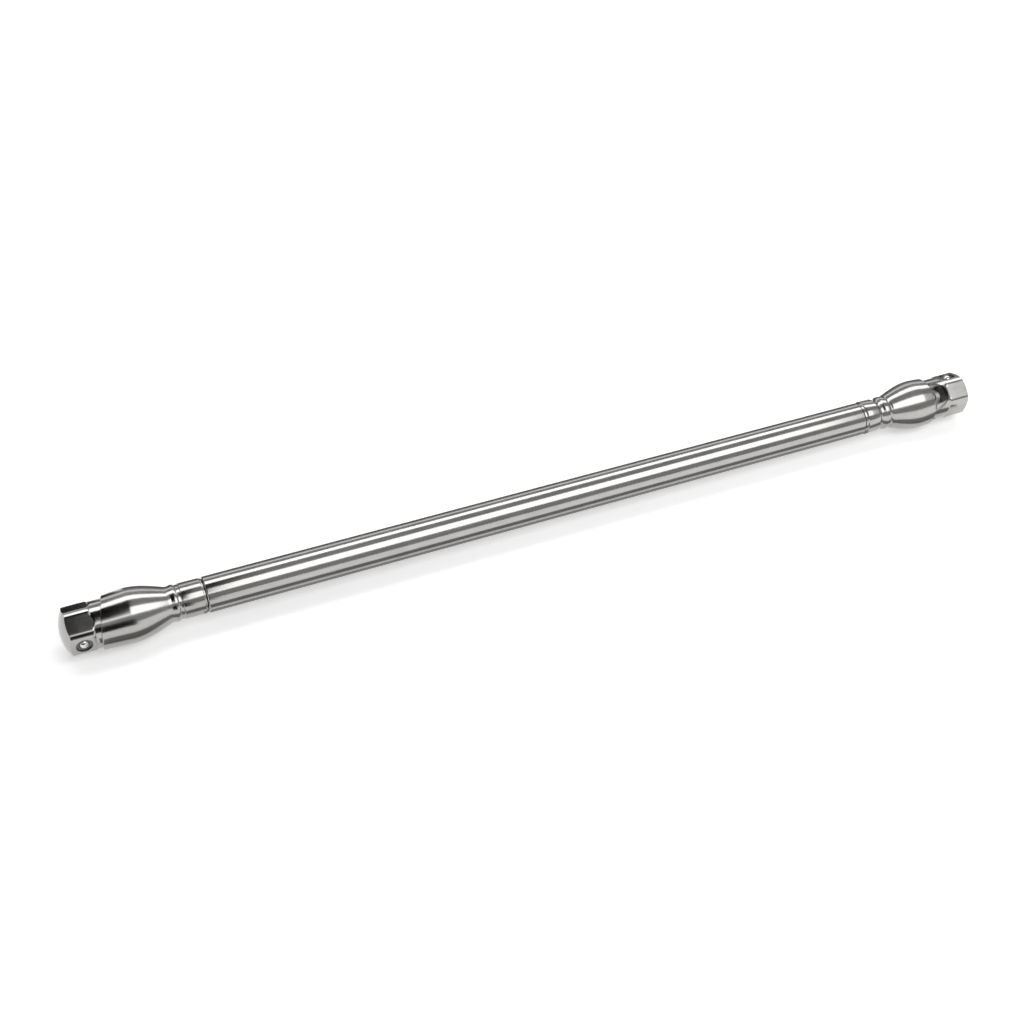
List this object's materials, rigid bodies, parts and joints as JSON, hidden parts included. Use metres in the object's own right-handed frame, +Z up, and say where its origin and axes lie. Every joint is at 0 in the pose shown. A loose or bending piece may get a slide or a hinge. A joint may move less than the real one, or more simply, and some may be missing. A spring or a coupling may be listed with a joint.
{
  "type": "breaker bar",
  "caption": "Round steel breaker bar with a bulb-shaped housing and a flexing hexagon drive with a ball catch at each end.",
  "frame": {"origin": "middle of the bar's box, on the bar's axis", "axes": "+X along the bar towards the end whose drive is pulled out and free, +Z up"},
  "size_m": [0.6054, 0.032, 0.032],
  "materials": {
    "handle_tube": "satin",
    "left_housing": "satin",
    "right_housing": "satin",
    "left_housing_pin": "satin",
    "right_housing_pin": "satin",
    "left_stem": "satin",
    "right_stem": "satin",
    "left_lock_ring": "dull",
    "right_lock_ring": "dull",
    "left_stem_nut": "satin",
    "right_stem_nut": "satin",
    "left_ear_pin": "ground",
    "right_ear_pin": "ground",
    "left_block": "satin",
    "right_block": "satin",
    "left_arm_pin_upper": "ground",
    "left_arm_pin_lower": "ground",
    "right_arm_pin_upper": "ground",
    "right_arm_pin_lower": "ground",
    "left_drive": "satin",
    "right_drive": "satin",
    "left_ball_ring": "satin",
    "right_ball_ring": "satin",
    "left_ball": "polished",
    "right_ball": "polished",
    "left_ball_spring": "dull",
    "right_ball_spring": "dull"
  },
  "bodies": {
    "bar": {"handle_tube": "handle_tube", "left_housing": "left_housing", "right_housing": "right_housing", "left_housing_pin": "left_housing_pin", "right_housing_pin": "right_housing_pin", "right_stem": "right_stem", "right_lock_ring": "right_lock_ring", "right_stem_nut": "right_stem_nut", "right_ear_pin": "right_ear_pin"},
    "left_head": {"left_stem": "left_stem", "left_lock_ring": "left_lock_ring", "left_stem_nut": "left_stem_nut", "left_ear_pin": "left_ear_pin", "left_block": "left_block", "left_arm_pin_upper": "left_arm_pin_upper", "left_arm_pin_lower": "left_arm_pin_lower", "left_drive": "left_drive", "left_ball_ring": "left_ball_ring"},
    "left_ball": {"left_ball": "left_ball", "left_ball_spring": "left_ball_spring"},
    "right_block": {"right_block": "right_block", "right_arm_pin_upper": "right_arm_pin_upper", "right_arm_pin_lower": "right_arm_pin_lower"},
    "right_drive": {"right_drive": "right_drive", "right_ball_ring": "right_ball_ring"},
    "right_ball": {"right_ball": "right_ball", "right_ball_spring": "right_ball_spring"}
  },
  "joints": [
    {"name": "left_pull", "type": "slide", "parent": "bar", "child": "left_head", "axis": [-1, 0, 0], "range_m": [0, 0.0065]},
    {"name": "right_bend", "type": "hinge", "parent": "bar", "child": "right_block", "pos_m": [0.2742, 0, 0], "axis": [0, -0.7071, 0.7071], "range_deg": [-20, 20]},
    {"name": "right_sway", "type": "hinge", "parent": "right_block", "child": "right_drive", "pos_m": [0.2742, 0, 0], "axis": [0, 0.7071, 0.7071], "range_deg": [-20, 20]},
    {"name": "left_ball_press", "type": "slide", "parent": "left_head", "child": "left_ball", "axis": [0, 0.9848, 0.1736], "range_m": [0, 0.0012], "stiffness_N_per_m": 1500, "springref_m": -0.002},
    {"name": "right_ball_press", "type": "slide", "parent": "right_drive", "child": "right_ball", "axis": [0, -0.2588, -0.9659], "range_m": [0, 0.0012], "stiffness_N_per_m": 1500, "springref_m": -0.002}
  ]
}
